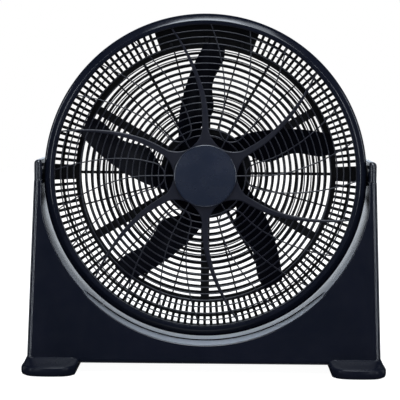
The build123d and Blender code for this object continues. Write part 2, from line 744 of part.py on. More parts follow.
# ---- Fan blade ---------------------------------------------------------------------
def tip_flare(radius):
    """How much wider the blade is than its plain leaf shape."""
    t = min(1, max(0, (radius - 160) / 45))
    return BLADE_FLARE * t * t * (3 - 2 * t)


def blade_section(radius):
    """A thin cambered section of the blade, on a plane square to the radius."""
    flare = tip_flare(radius)
    width = 56 * (1 - ((radius - 90) / 170) ** 2) + flare
    span = 2 * half_angle(width / 2, radius)
    axial = 38 - 25 * (radius - 60) / (BLADE_TIP_R - 60)
    camber = 3.0
    angle = radians(BLADE_ZERO_ANGLE - degrees(flare / radius) + span / 2)
    outward = Vector(cos(angle), 0, sin(angle))
    across = Vector(-sin(angle), 0, cos(angle))
    distance = radius * cos(radians(span / 2))
    plane = Plane(origin=outward * distance, x_dir=across, z_dir=outward)
    half_w, mid, edge_t = width / 2, -BLADE_MID_Y, BLADE_T / 4
    low, high = mid - axial / 2, mid + axial / 2
    back = ThreePointArc(
        (-half_w, low - edge_t), (0, mid - camber - BLADE_T / 2), (half_w, high - edge_t))
    front = ThreePointArc(
        (half_w, high + edge_t), (0, mid - camber + BLADE_T / 2), (-half_w, low + edge_t))
    ends = [
        Line((half_w, high - edge_t), (half_w, high + edge_t)),
        Line((-half_w, low + edge_t), (-half_w, low - edge_t)),
    ]
    return plane * make_face([back, ends[0], front, ends[1]])


def fan_blade():
    """Five blades on a cup-shaped hub, moulded in one piece."""
    blade = loft([blade_section(radius) for radius in (61, 100, 140, 165, 185, 205, 232)])
    blade = at_axis(blade) & rod_y(0, 0, BLADE_TIP_R, -60, 30)
    rim_y, inside_y, collar_r, collar_y = HUB_FRONT_Y + 6, HUB_FRONT_Y + 3, 12, -4
    hub = turned([
        (SHAFT_R, HUB_FRONT_Y), (BLADE_HUB_R - 6, HUB_FRONT_Y), (BLADE_HUB_R, rim_y),
        (BLADE_HUB_R, HUB_BACK_Y), (BLADE_HUB_R - 3, HUB_BACK_Y), (BLADE_HUB_R - 3, rim_y),
        (BLADE_HUB_R - 7, inside_y), (collar_r, inside_y), (collar_r, collar_y), (SHAFT_R, collar_y),
    ])
    blade -= rod_y(0, 0, BLADE_HUB_R - 2, -60, 30)
    fan = hub
    axis = Axis((0, 0, PIVOT_Z), (0, -1, 0))
    for index in range(BLADES):
        fan += blade.rotate(axis, index * 360 / BLADES)
    return fan - drive_pin()


def spinner_nut():
    """The knurled nut that holds the fan on its shaft."""
    cone_y = NUT_FRONT_Y + 6
    nut = turned([
        (SHAFT_R, NUT_BACK_Y), (NUT_R, NUT_BACK_Y), (NUT_R, cone_y), (NUT_R - 3, NUT_FRONT_Y),
        (0, NUT_FRONT_Y), (0, SHAFT_FRONT_Y), (SHAFT_R, SHAFT_FRONT_Y),
    ])
    for index in range(NUT_GRIPS):
        nut -= rod_y(*polar(NUT_R, index * 360 / NUT_GRIPS), 1.2, cone_y, NUT_BACK_Y)
    return nut


# ---- Controls and handle -----------------------------------------------------------
def control_edges():
    return 90 - CONTROL_HALF_ANGLE, 90 + CONTROL_HALF_ANGLE


def housing_screw_places():
    return [polar(234, 90 + side * 15.5) for side in (-1, 1)]


def housing_screws():
    return Compound([
        screw_y(x, z, REAR_FRONT_Y - 2.5, 62, shaft_r=1.5, head_r=3, head_t=2.5)
        for x, z in housing_screw_places()
    ])


def handle_screw_places():
    inset = CONTROL_HALF_ANGLE - HANDLE_POST_ANGLE / 2
    return [polar(258, 90 + side * inset) for side in (-1, 1)]


def handle_screws():
    return Compound([
        screw_y(x, z, HOUSING_BACK_Y - 5.5, 96, head_t=3) for x, z in handle_screw_places()
    ])


def control_housing():
    """The box behind the solid top of the rear grille that holds the switch."""
    first, last = control_edges()
    box = sector(HOUSING_IN_R, HOUSING_OUT_R, first, last, REAR_BACK_Y, HOUSING_BACK_Y)
    side = degrees(HOUSING_WALL / HOUSING_IN_R)
    r_in, r_out = HOUSING_IN_R + HOUSING_WALL, HOUSING_OUT_R - HOUSING_WALL
    inside_back = HOUSING_BACK_Y - HOUSING_WALL
    cavity = sector(r_in, r_out, first + side, last - side, REAR_BACK_Y, inside_back)
    box -= cavity
    for x, z in housing_screw_places():
        box += rod_y(x, z, 4.5, REAR_BACK_Y, inside_back)
    box -= housing_screws()
    box -= handle_screws()
    box -= rod_y(*polar(KNOB_CIRCLE, KNOB_ANGLE), 5, inside_back - 1, HOUSING_BACK_Y + 1)
    return box - rod_y(*polar(GLAND_CIRCLE, GLAND_ANGLE), 5, inside_back - 1, HOUSING_BACK_Y + 1)


def carry_handle():
    """A bar behind the top of the drum on two posts."""
    first, last = control_edges()
    bar = sector(HANDLE_IN_R, HANDLE_OUT_R, first, last, HANDLE_FRONT_Y, HANDLE_BACK_Y)
    posts = [
        sector(HANDLE_IN_R, HOUSING_OUT_R, start, start + HANDLE_POST_ANGLE,
               HOUSING_BACK_Y, HANDLE_FRONT_Y)
        for start in (first, last - HANDLE_POST_ANGLE)
    ]
    bar = fillet([e for e in bar.edges() if e.length > 100], 5)
    return bar + posts[0] + posts[1] - handle_screws()


def switch_body():
    """The rotary speed switch behind the knob."""
    x, z = polar(KNOB_CIRCLE, KNOB_ANGLE)
    body = Pos(x, 68, z) * Box(24, 16, 20)
    neck = rod_y(x, z, 5, 76, HOUSING_BACK_Y + 2)
    return at_axis(body) + neck - rod_y(x, z, LEAD_R + FIT, 66, 90)


def switch_spindle():
    x, z = polar(KNOB_CIRCLE, KNOB_ANGLE)
    return rod_y(x, z, LEAD_R, 66.5, 94)


def speed_knob():
    """The fluted speed knob with a grip bar across its face."""
    x, z = polar(KNOB_CIRCLE, KNOB_ANGLE)
    front, back = HOUSING_BACK_Y + 2.5, HOUSING_BACK_Y + 10
    skirt = rod_y(x, z, KNOB_R, front, back)
    skirt = fillet(skirt.edges().sort_by(Axis.Y)[-1], 2)
    grip = at_axis(Pos(x, back + 4, z) * Box(7, 9, 2 * KNOB_R - 4))
    grip = fillet(grip.edges().filter_by(Axis.Z), 2)
    return skirt + grip - rod_y(x, z, LEAD_R, HOUSING_BACK_Y, 94)


def run_capacitor():
    x, z = polar(KNOB_CIRCLE, 100)
    block = at_axis(Pos(x, 63, z) * Box(34, 14, 18))
    return fillet(block.edges().filter_by(Axis.Y), 2)


def cord_gland():
    """The rubber gland where a mains cord would leave the housing."""
    x, z = polar(GLAND_CIRCLE, GLAND_ANGLE)
    neck = rod_y(x, z, 5, HOUSING_BACK_Y - 5, HOUSING_BACK_Y)
    flange = rod_y(x, z, 8, HOUSING_BACK_Y, HOUSING_BACK_Y + 3)
    nose = Plane.XZ.offset(-HOUSING_BACK_Y - 14)
    taper = extrude(nose * (Pos(x, z) * Circle(4.8)), 11, taper=-8)
    return neck + flange + at_axis(taper) - rod_y(x, z, 3.2, HOUSING_BACK_Y - 6, 96)


def motor_lead():
    """The insulated lead from the motor up the wide spoke and back to the switch."""
    switch_x, switch_z = polar(KNOB_CIRCLE, KNOB_ANGLE)
    spoke_y = REAR_FRONT_Y - LEAD_R - 0.2
    route = [
        (0, spoke_y, MOTOR_R),
        (0, spoke_y, LEAD_TURN_Z),
        (0, 64, LEAD_TURN_Z),
        (switch_x - 12, 64, LEAD_TURN_Z),
    ]
    path = FilletPolyline(*route, radius=[9, 9])
    start = Plane(origin=route[0], z_dir=(0, 0, 1))
    return at_axis(sweep(start * Circle(LEAD_R), path))


# ---- Write every node --------------------------------------------------------------
def all_nodes():
    front_shell, rear_shell = base_shells()
    foot = right_foot()
    right_side = {
        "foot": foot,
        "arm_cap": right_arm_cap(),
        "pivot_bush": right_pivot_bush(),
        "friction_washer": right_friction_washer(),
        "pivot_pin": right_pivot_pin(),
    }
    nodes = {
        "base_front_shell": front_shell,
        "base_rear_shell": rear_shell,
        "base_bottom_plate": bottom_plate(),
        "base_screws": base_screws(),
        "foot_pads": foot_pads(),
        "foot_screws": foot_screws(),
        "drum_shell": drum_shell(),
        "front_ring": front_ring(),
        "rear_ring": rear_ring(),
        "front_grille": front_grille(),
        "hub_badge": hub_badge(),
        "rear_grille": rear_grille(),
        "motor_front_bell": motor_front_bell(),
        "motor_rear_bell": motor_rear_bell(),
        "motor_bolts": motor_bolts(),
        "motor_rear_cover": motor_rear_cover(),
        "cover_screws": cover_screws(),
        "stator_core": stator_core(),
        "stator_windings": stator_windings(),
        "front_bearing": bearing(1),
        "rear_bearing": bearing(REAR_FRONT_Y - BEARING_LENGTH),
        "rotor_core": rotor_core(),
        "motor_shaft": motor_shaft(),
        "drive_pin": drive_pin(),
        "fan_blade": fan_blade(),
        "spinner_nut": spinner_nut(),
        "control_housing": control_housing(),
        "housing_screws": housing_screws(),
        "switch_body": switch_body(),
        "switch_spindle": switch_spindle(),
        "speed_knob": speed_knob(),
        "run_capacitor": run_capacitor(),
        "motor_lead": motor_lead(),
        "cord_gland": cord_gland(),
        "carry_handle": carry_handle(),
        "handle_screws": handle_screws(),
    }
    for name, shape in right_side.items():
        nodes["right_" + name] = shape
        nodes["left_" + name] = mirrored(shape)
    return nodes


os.makedirs("parts", exist_ok=True)
for node, shape in all_nodes().items():
    export_step(shape, f"parts/{node}.step")
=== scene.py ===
import json
from math import asin, atan2, cos, degrees, pi, radians, sin, sqrt

import bmesh
import bpy
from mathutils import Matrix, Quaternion, Vector


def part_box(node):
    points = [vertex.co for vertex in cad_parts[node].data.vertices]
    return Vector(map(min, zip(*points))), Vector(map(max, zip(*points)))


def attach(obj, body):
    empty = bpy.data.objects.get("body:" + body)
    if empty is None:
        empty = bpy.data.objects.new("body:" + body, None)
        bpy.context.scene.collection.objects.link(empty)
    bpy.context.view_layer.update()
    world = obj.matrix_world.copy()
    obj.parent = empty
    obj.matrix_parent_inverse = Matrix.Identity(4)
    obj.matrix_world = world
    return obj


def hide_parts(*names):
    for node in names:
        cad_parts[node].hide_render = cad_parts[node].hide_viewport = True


# The visible model of a round-drum floor fan that tilts in a U-shaped cradle base.
# Sizes are in millimetres and become metres when a mesh is made.

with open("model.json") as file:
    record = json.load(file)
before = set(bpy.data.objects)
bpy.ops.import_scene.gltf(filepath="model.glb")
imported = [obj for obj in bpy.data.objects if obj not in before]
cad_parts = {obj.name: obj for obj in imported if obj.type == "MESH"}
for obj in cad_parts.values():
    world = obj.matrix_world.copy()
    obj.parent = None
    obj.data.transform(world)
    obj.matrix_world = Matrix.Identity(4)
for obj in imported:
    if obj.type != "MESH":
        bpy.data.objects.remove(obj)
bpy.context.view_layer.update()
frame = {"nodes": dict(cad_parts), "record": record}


# ---- Sizes read from the frame -----------------------------------------------------
def box_mm(node):
    """A CAD node's lowest and highest corner in millimetres."""
    low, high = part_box(node)
    return Vector(low) * 1000, Vector(high) * 1000


shell_low, _ = box_mm("drum_shell")
ring_low, ring_high = box_mm("front_ring")
rear_ring_low, rear_ring_high = box_mm("rear_ring")
grille_low, grille_high = box_mm("front_grille")
badge_low, badge_high = box_mm("hub_badge")
base_low, base_high = box_mm("base_front_shell")
cap_low, cap_high = box_mm("right_arm_cap")
foot_low, foot_high = box_mm("right_foot")

AXIS_Z = (rear_ring_low.z + rear_ring_high.z) / 2
RING_R = ring_high.x
RING_FRONT_Y = ring_low.y
RING_BACK_Y = ring_high.y
SHELL_R = rear_ring_high.x
SHELL_FRONT_Y = shell_low.y
GRILLE_R = grille_high.x
GRILLE_FRONT_Y = grille_low.y
GRILLE_BACK_Y = grille_high.y


# ---- Mesh helpers ------------------------------------------------------------------
def at(radius, angle, y):
    """A point given in polar form round the fan's axis, in millimetres."""
    return Vector((radius * cos(radians(angle)), y, AXIS_Z + radius * sin(radians(angle))))


def flat_point(radius, angle):
    """A point given in polar form in the front view."""
    return Vector((radius * cos(radians(angle)), radius * sin(radians(angle))))


def steps_between(start, end, count):
    """Evenly spaced numbers from the start to the end, both included."""
    return [start + (end - start) * i / (count - 1) for i in range(count)]


def curve(start, middle, end, t):
    """A point on the curve that leaves the start and reaches the end along lines to the middle."""
    return start * (1 - t) ** 2 + middle * 2 * t * (1 - t) + end * t ** 2


class Shape:
    """A growing list of vertices in millimetres and of faces."""

    def __init__(self):
        self.vertices = []
        self.faces = []

    def add_loop(self, points):
        """Adds the points and returns their places in the list of vertices."""
        first = len(self.vertices)
        self.vertices += points
        return list(range(first, first + len(points)))

    def bridge(self, one, two):
        """Quads between two closed loops of the same length."""
        count = len(one)
        for i in range(count):
            j = (i + 1) % count
            self.faces.append((one[i], one[j], two[j], two[i]))

    def skin(self, loops, wrap=False, caps=False):
        """Joins closed loops into one surface, which wraps round to the first or gets end caps."""
        rings = [self.add_loop(points) for points in loops]
        for one, two in zip(rings, rings[1:]):
            self.bridge(one, two)
        if wrap:
            self.bridge(rings[-1], rings[0])
        if caps:
            self.faces.append(tuple(reversed(rings[0])))
            self.faces.append(tuple(rings[-1]))


def add_piece(name, mesh, material, body, replaces, sharp, edge_width=0.0):
    """Shows a mesh in place of CAD nodes, smooth except at edges sharper than an angle."""
    mesh.shade_smooth()
    mesh.set_sharp_from_angle(angle=radians(sharp))
    mesh.materials.append(material)
    piece = bpy.data.objects.new(name, mesh)
    bpy.context.scene.collection.objects.link(piece)
    if edge_width:
        rounding = piece.modifiers.new("round_edges", "BEVEL")
        rounding.width = edge_width / 1000
        rounding.segments = 3
        rounding.limit_method = "ANGLE"
        rounding.angle_limit = radians(35)
    weighted = piece.modifiers.new("even_normals", "WEIGHTED_NORMAL")
    weighted.keep_sharp = True
    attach(piece, body)
    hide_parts(*replaces)


def make_piece(name, shape, material, body, replaces, sharp=35):
    """Turns a shape into a piece of the model, in metres."""
    mesh = bpy.data.meshes.new(name)
    mesh.from_pydata([Vector(v) / 1000 for v in shape.vertices], [], shape.faces)
    mesh.validate()
    mesh.update()
    add_piece(name, mesh, material, body, replaces, sharp)


def softened(corners, radius):
    """A closed outline whose corners are rounded by the radius, as far as the sides allow."""
    steps = 4
    longest_share = 0.45
    almost_zero = 1e-6
    points = []
    count = len(corners)
    for i in range(count):
        here = Vector(corners[i])
        before = Vector(corners[i - 1]) - here
        after = Vector(corners[(i + 1) % count]) - here
        half_turn = before.angle(after) / 2
        slope = sin(half_turn) / max(cos(half_turn), almost_zero)
        shorter = min(before.length * longest_share, after.length * longest_share)
        reach = min(radius / max(slope, almost_zero), shorter)
        start = here + before.normalized() * reach
        end = here + after.normalized() * reach
        points += [curve(start, here, end, step / steps) for step in range(steps + 1)]
    return points


def lathe(shape, outline, segments):
    """A closed (radius, y) outline turned about the fan's axis."""
    loops = []
    for i in range(segments):
        angle = 360 * i / segments
        loops.append([at(radius, angle, y) for radius, y in outline])
    shape.skin(loops, wrap=True)


# ---- Materials ---------------------------------------------------------------------
def new_material(name):
    """A node material, with its nodes, its links and its shader."""
    material = bpy.data.materials.new(name)
    material.use_nodes = True
    nodes, links = material.node_tree.nodes, material.node_tree.links
    return material, nodes, links, nodes["Principled BSDF"]


def noise(nodes, links, scale, detail=4.0, stretch=None):
    """A noise texture in object space, optionally stretched."""
    place = nodes.new("ShaderNodeTexCoord")
    texture = nodes.new("ShaderNodeTexNoise")
    texture.inputs["Scale"].default_value = scale
    texture.inputs["Detail"].default_value = detail
    if stretch:
        mapping = nodes.new("ShaderNodeMapping")
        mapping.inputs["Scale"].default_value = stretch
        links.new(place.outputs["Object"], mapping.inputs["Vector"])
        links.new(mapping.outputs["Vector"], texture.inputs["Vector"])
    else:
        links.new(place.outputs["Object"], texture.inputs["Vector"])
    return texture


def ramp_to(nodes, links, source, low, high, target):
    """Maps a texture's factor between two colours or two grey values."""
    ramp = nodes.new("ShaderNodeValToRGB")
    ramp.color_ramp.elements[0].position = 0.3
    ramp.color_ramp.elements[1].position = 0.7
    for element, value in zip(ramp.color_ramp.elements, (low, high)):
        element.color = (*value, 1) if isinstance(value, tuple) else (value, value, value, 1)
    links.new(source, ramp.inputs["Fac"])
    links.new(ramp.outputs["Color"], target)


def bump_to(nodes, links, source, shader, strength, distance):
    """Lets a texture raise and lower the surface by a distance in metres."""
    bump = nodes.new("ShaderNodeBump")
    bump.inputs["Strength"].default_value = strength
    bump.inputs["Distance"].default_value = distance
    links.new(source, bump.inputs["Height"])
    links.new(bump.outputs["Normal"], shader.inputs["Normal"])


def painted_upward_sheen(nodes, links, shader, most):
    """A painted highlight: a pale sheen on the faces that look upward, and none on steep ones."""
    sheen_begins = 0.35       # the upward part of a face's normal where the painted sheen begins
    place = nodes.new("ShaderNodeTexCoord")
    parts = nodes.new("ShaderNodeSeparateXYZ")
    links.new(place.outputs["Normal"], parts.inputs["Vector"])
    upward = nodes.new("ShaderNodeMapRange")
    upward.inputs["From Min"].default_value = sheen_begins
    upward.inputs["From Max"].default_value = 1.0
    upward.inputs["To Max"].default_value = most
    links.new(parts.outputs["Z"], upward.inputs["Value"])
    links.new(upward.outputs["Result"], shader.inputs["Sheen Weight"])
    shader.inputs["Sheen Roughness"].default_value = 0.25
    shader.inputs["Sheen Tint"].default_value = (0.78, 0.87, 1.0, 1)


def moulded_plastic(name, dark, light, roughness, grain, relief, specular=0.5, painted_sheen=0.0):
    """Moulded plastic: slight colour drift, uneven gloss and a fine surface texture, with a painted
    sheen on upward faces when one is given.
    """
    material, nodes, links, shader = new_material(name)
    drift = noise(nodes, links, scale=14.0)
    ramp_to(nodes, links, drift.outputs["Fac"], dark, light, shader.inputs["Base Color"])
    wear = noise(nodes, links, scale=55.0, detail=6.0)
    ramp_to(nodes, links, wear.outputs["Fac"], *roughness, shader.inputs["Roughness"])
    texture = noise(nodes, links, scale=grain, detail=2.0)
    bump_to(nodes, links, texture.outputs["Fac"], shader, strength=0.25, distance=relief)
    shader.inputs["Specular IOR Level"].default_value = specular
    # The painted sheen paints a highlight on the faces that look upward.
    if painted_sheen:
        painted_upward_sheen(nodes, links, shader, painted_sheen)
    return material


def metal(name, color, roughness, stretch=(1, 40, 1)):
    """Bare metal with fine lines of machining or drawing."""
    material, nodes, links, shader = new_material(name)
    lines = noise(nodes, links, scale=60.0, detail=8.0, stretch=stretch)
    darker = tuple(c * 0.75 for c in color)
    ramp_to(nodes, links, lines.outputs["Fac"], darker, color, shader.inputs["Base Color"])
    ramp_to(nodes, links, lines.outputs["Fac"], *roughness, shader.inputs["Roughness"])
    bump_to(nodes, links, lines.outputs["Fac"], shader, strength=0.15, distance=0.0001)
    shader.inputs["Metallic"].default_value = 1.0
    return material


def banded(name, color_a, color_b, scale, metallic, roughness):
    """Layers stacked along the fan's axis, such as laminations or wound wire."""
    material, nodes, links, shader = new_material(name)
    place = nodes.new("ShaderNodeTexCoord")
    wave = nodes.new("ShaderNodeTexWave")
    wave.bands_direction = "Y"
    wave.inputs["Scale"].default_value = scale
    wave.inputs["Distortion"].default_value = 0.4
    wave.inputs["Detail"].default_value = 3.0
    links.new(place.outputs["Object"], wave.inputs["Vector"])
    ramp_to(nodes, links, wave.outputs["Fac"], color_a, color_b, shader.inputs["Base Color"])
    bump_to(nodes, links, wave.outputs["Fac"], shader, strength=0.5, distance=0.0003)
    shader.inputs["Metallic"].default_value = metallic
    shader.inputs["Roughness"].default_value = roughness
    return material


GLOSS_DARK, GLOSS_LIGHT = (0.0022, 0.003, 0.006), (0.003, 0.0037, 0.0072)
GLOSS = moulded_plastic(
    "gloss_black_plastic", GLOSS_DARK, GLOSS_LIGHT,
    roughness=(0.14, 0.2), grain=900.0, relief=0.000012)
# The base's plastic carries the painted sheen on its upward faces, a painted highlight in the cradle's
# trough.
BASE_GLOSS = moulded_plastic(
    "painted_sheen_black_plastic", GLOSS_DARK, GLOSS_LIGHT,
    roughness=(0.14, 0.2), grain=900.0, relief=0.000012, painted_sheen=1.0)
FOOT_SATIN = moulded_plastic(
    "foot_black_plastic", GLOSS_DARK, GLOSS_LIGHT,
    roughness=(0.25, 0.32), grain=900.0, relief=0.000012, specular=0.1)
SATIN = moulded_plastic(
    "satin_black_plastic", (0.0035, 0.004, 0.0075), (0.005, 0.0055, 0.0095),
    roughness=(0.27, 0.35), grain=1400.0, relief=0.00004, specular=0.4)
# A darker, rougher copy of the grille plastic for the rear grille: the darker colour is painted shade.
SHADED_REAR_SATIN = moulded_plastic(
    "shaded_rear_black_plastic", (0.002, 0.002, 0.003), (0.003, 0.003, 0.004),
    roughness=(0.45, 0.55), grain=1400.0, relief=0.00004, specular=0.25)
BLADE = moulded_plastic(
    "blade_plastic", (0.001, 0.0012, 0.0026), (0.0018, 0.002, 0.0042),
    roughness=(0.3, 0.38), grain=1200.0, relief=0.00004, specular=0.04)
BADGE = moulded_plastic(
    "badge_plastic", (0.005, 0.0075, 0.0145), (0.0065, 0.009, 0.0175),
    roughness=(0.22, 0.3), grain=1800.0, relief=0.00002)
MATT = moulded_plastic(
    "matt_black_plastic", (0.012, 0.012, 0.014), (0.02, 0.02, 0.022),
    roughness=(0.5, 0.65), grain=2200.0, relief=0.0001)
NYLON = moulded_plastic(
    "natural_nylon", (0.55, 0.52, 0.44), (0.62, 0.59, 0.5),
    roughness=(0.4, 0.5), grain=1500.0, relief=0.00004)
RUBBER = moulded_plastic(
    "black_rubber", (0.008, 0.008, 0.008), (0.016, 0.016, 0.016),
    roughness=(0.7, 0.85), grain=2600.0, relief=0.00015)
STEEL = metal("bright_steel", (0.56, 0.56, 0.57), roughness=(0.2, 0.34))
SCREW = metal("black_screw_steel", (0.06, 0.06, 0.065), roughness=(0.35, 0.5))
ALLOY = metal("cast_aluminium", (0.6, 0.6, 0.62), roughness=(0.42, 0.6), stretch=(1, 1, 1))
BRONZE = metal("sintered_bronze", (0.5, 0.34, 0.16), roughness=(0.35, 0.5), stretch=(1, 1, 1))
LAMINATIONS = banded(
    "laminations", (0.03, 0.03, 0.034), (0.16, 0.16, 0.17), scale=320.0, metallic=0.8, roughness=0.45)
COPPER = banded(
    "copper_wire", (0.25, 0.07, 0.02), (0.65, 0.24, 0.08), scale=180.0, metallic=0.9, roughness=0.35)

SLOT_MATERIALS = {
    "base_plastic": BASE_GLOSS,
    "drum_plastic": GLOSS,
    "grille_plastic": SATIN,
    "badge_plastic": BADGE,
    "blade_plastic": BLADE,
    "knob_plastic": MATT,
    "inner_plastic": MATT,
    "bush_nylon": NYLON,
    "pad_rubber": RUBBER,
    "steel": STEEL,
    "screw_steel": SCREW,
    "motor_alloy": ALLOY,
    "lamination_steel": LAMINATIONS,
    "copper": COPPER,
    "bearing_bronze": BRONZE,
}


def dress_cad_nodes():
    """Gives every CAD node the material of its slot. The rear grille gets a darker, less glossy copy of
    the front grille's plastic, whose darker colour is painted shade.
    """
    for row in frame["record"]["subparts"]:
        node = frame["nodes"][row["node"]]
        material = SHADED_REAR_SATIN if row["node"] == "rear_grille" else SLOT_MATERIALS[row["material_slot"]]
        node.data.materials.clear()
        node.data.materials.append(material)


# ---- Camera and stage --------------------------------------------------------------
COOL_WHITE = (0.84, 0.91, 1.0)
LIGHT_AIM = (0, 0, 0.3)


def make_camera():
    """The photograph's viewpoint: square on from the front and a little above the axis."""
    distance, view_width, sensor_mm = 3.0, 0.680, 36.0
    right_of_axis, above_axis = 0.025, 0.146
    aim_x, aim_below_axis = -0.0086, 0.041
    roll_degrees = -0.45
    ring_y, axis_z = RING_FRONT_Y / 1000, AXIS_Z / 1000
    data = bpy.data.cameras.new("camera")
    data.sensor_width = sensor_mm
    data.lens = sensor_mm * distance / view_width
    camera = bpy.data.objects.new("camera", data)
    bpy.context.scene.collection.objects.link(camera)
    camera.location = (right_of_axis, ring_y - distance, axis_z + above_axis)
    line_of_sight = Vector((aim_x, ring_y, axis_z - aim_below_axis)) - camera.location
    roll = Quaternion(line_of_sight.normalized(), radians(roll_degrees))
    camera.rotation_mode = "QUATERNION"
    camera.rotation_quaternion = roll @ line_of_sight.to_track_quat("-Z", "Y")
    bpy.context.scene.camera = camera


def glow_material():
    """A cool white surface that gives off light."""
    material, _, _, shader = new_material("backdrop_glow")
    shader.inputs["Base Color"].default_value = (0, 0, 0, 1)
    shader.inputs["Emission Color"].default_value = (*COOL_WHITE, 1)
    shader.inputs["Emission Strength"].default_value = 0.9
    return material


def floor_material():
    """A pale floor that gives off light, so that the picture stays white below the fan."""
    material, nodes, links, shader = new_material("pale_floor")
    grain = noise(nodes, links, scale=3.0)
    ramp_to(nodes, links, grain.outputs["Fac"], 0.2, 0.22, shader.inputs["Base Color"])
    shader.inputs["Roughness"].default_value = 0.9
    shader.inputs["Specular IOR Level"].default_value = 0.1
    shader.inputs["Emission Color"].default_value = (1, 1, 1, 1)
    shader.inputs["Emission Strength"].default_value = 0.96
    return material


def black_material():
    """Cloth so dark that it adds next to nothing to the gloss."""
    material, _, _, shader = new_material("black_cloth")
    shader.inputs["Base Color"].default_value = (0.003, 0.003, 0.0035, 1)
    shader.inputs["Roughness"].default_value = 1.0
    return material


def stage_mesh(name, vertices, faces, material):
    """A mesh, given in metres, that isn't part of the fan."""
    mesh = bpy.data.meshes.new(name)
    mesh.from_pydata(vertices, [], faces)
    mesh.materials.append(material)
    piece = bpy.data.objects.new(name, mesh)
    bpy.context.scene.collection.objects.link(piece)
    return piece


def only_in_reflections(piece):
    """Hides a piece from everything but the gloss of other surfaces."""
    piece.visible_camera = False
    piece.visible_diffuse = False
    piece.visible_shadow = False
    piece.visible_transmission = False


def white_floor():
    """The floor, which the gloss of the plastic doesn't show."""
    side = 7.0
    corners = [(-side, -side, 0), (side, -side, 0), (side, side, 0), (-side, side, 0)]
    floor = stage_mesh("floor", corners, [(0, 1, 2, 3)], floor_material())
    floor.visible_glossy = False


def black_tent():
    """Black cloth on every side, seen only in the gloss of the plastic."""
    x, y, z_low, z_high = 5.0, 6.0, -0.2, 5.0
    corners = [(a, b, c) for a in (-x, x) for b in (-y, y) for c in (z_low, z_high)]
    faces = [(0, 1, 3, 2), (4, 6, 7, 5), (0, 4, 5, 1), (2, 3, 7, 6), (0, 2, 6, 4), (1, 5, 7, 3)]
    only_in_reflections(stage_mesh("black_tent", corners, faces, black_material()))


def backdrop():
    """A bright upright card behind the fan, whose reflection lights up the cradle's trough."""
    half_width, y, z_low, z_high = 1.3, 3.0, 0.13, 1.7
    corners = [(-half_width, y, z_low), (half_width, y, z_low),
               (half_width, y, z_high), (-half_width, y, z_high)]
    only_in_reflections(stage_mesh("backdrop", corners, [(0, 1, 2, 3)], glow_material()))


def area_light(name, size, power, location):
    """A cool white light, in metres and watts, turned toward the fan."""
    data = bpy.data.lights.new(name, "AREA")
    data.shape = "RECTANGLE"
    data.size, data.size_y = size
    data.energy = power
    data.color = COOL_WHITE
    light = bpy.data.objects.new(name, data)
    light.location = location
    toward = Vector(LIGHT_AIM) - Vector(location)
    light.rotation_mode = "QUATERNION"
    light.rotation_quaternion = toward.to_track_quat("-Z", "Y")
    bpy.context.scene.collection.objects.link(light)


def make_stage():
    """White surroundings, two overhead lights, tall strip lights, a card and a black tent."""
    world = bpy.data.worlds.new("white_surroundings")
    world.use_nodes = True
    world.node_tree.nodes["Background"].inputs["Color"].default_value = (1, 1, 1, 1)
    world.node_tree.nodes["Background"].inputs["Strength"].default_value = 1.0
    bpy.context.scene.world = world
    bpy.context.scene.view_settings.view_transform = "Standard"
    white_floor()
    black_tent()
    backdrop()
    area_light("overhead_softbox", size=(1.2, 1.9), power=56, location=(0, -1.3, 2.6))
    area_light("overhead_fill", size=(2.4, 1.9), power=62, location=(0.25, -1.3, 2.7))
    for hand in (-1, 1):
        area_light(f"front_strip_{hand}", size=(0.12, 2.2), power=14, location=(hand * 1.5, -3.2, 0.7))
        area_light(f"corner_strip_{hand}", size=(0.3, 2.2), power=24, location=(hand * 2.4, -2.0, 0.7))
        area_light(f"side_strip_{hand}", size=(0.2, 2.2), power=9, location=(hand * 2.6, 0.75, 0.7))


# ---- Front ring, rear ring and badge -----------------------------------------------
# "In" is measured inward from the outer edge, and "back" from the ring's front.
LIP_IN = 3.5                                # the lip is measured from the grille's edge instead
CREST_IN = 13.0
BEVEL_END_IN, BEVEL_END_BACK = 4.0, 6.5     # where the sloping bevel ends
EDGE_BEND_IN, EDGE_BEND_BACK = 0.6, 10.5    # what the rounded edge bends toward
EDGE_END_BACK = 16.0                        # where the rounded edge meets the skirt
SKIRT_BREAK = 0.6                           # the broken edge at the skirt's back
REAR_RING_WALL = 5
BADGE_RIM_W, BADGE_DOME_H = 2.2, 2.2
AXIS_GAP = 0.01                             # keeps a lathed outline off the axis


def front_ring():
    """The bezel: inner lip, crest, sloping bevel, rounded edge and a skirt over the drum."""
    crest_r = RING_R - CREST_IN
    lip_r = GRILLE_R - LIP_IN
    lip = [(lip_r, GRILLE_FRONT_Y), (lip_r, RING_FRONT_Y + 1.6), (lip_r + 0.7, RING_FRONT_Y + 0.7)]
    crest_steps = [(-1.5, 0.25), (0, 0), (1, 0.12), (2, 0.6), (3, 1.35)]
    crest = [(crest_r + out, RING_FRONT_Y + back) for out, back in crest_steps]
    bevel_end = Vector((RING_R - BEVEL_END_IN, RING_FRONT_Y + BEVEL_END_BACK))
    # Two points just before its end keep the bevel flat right up to the rounded edge.
    bevel = [bevel_end + Vector((-3, -2.75)), bevel_end + Vector((-0.6, -0.55))]
    edge_bend = Vector((RING_R - EDGE_BEND_IN, RING_FRONT_Y + EDGE_BEND_BACK))
    edge_end = Vector((RING_R, RING_FRONT_Y + EDGE_END_BACK))
    edge = [curve(bevel_end, edge_bend, edge_end, t) for t in steps_between(0, 1, 8)]
    skirt = [(RING_R, RING_BACK_Y - SKIRT_BREAK), (RING_R - SKIRT_BREAK, RING_BACK_Y),
             (SHELL_R, RING_BACK_Y)]
    back = [(SHELL_R, SHELL_FRONT_Y), (GRILLE_R, SHELL_FRONT_Y), (GRILLE_R, GRILLE_FRONT_Y)]
    shape = Shape()
    lathe(shape, lip + crest + bevel + edge + skirt + back, segments=360)
    make_piece("front_ring_bezel", shape, GLOSS, "drum", ["front_ring"])


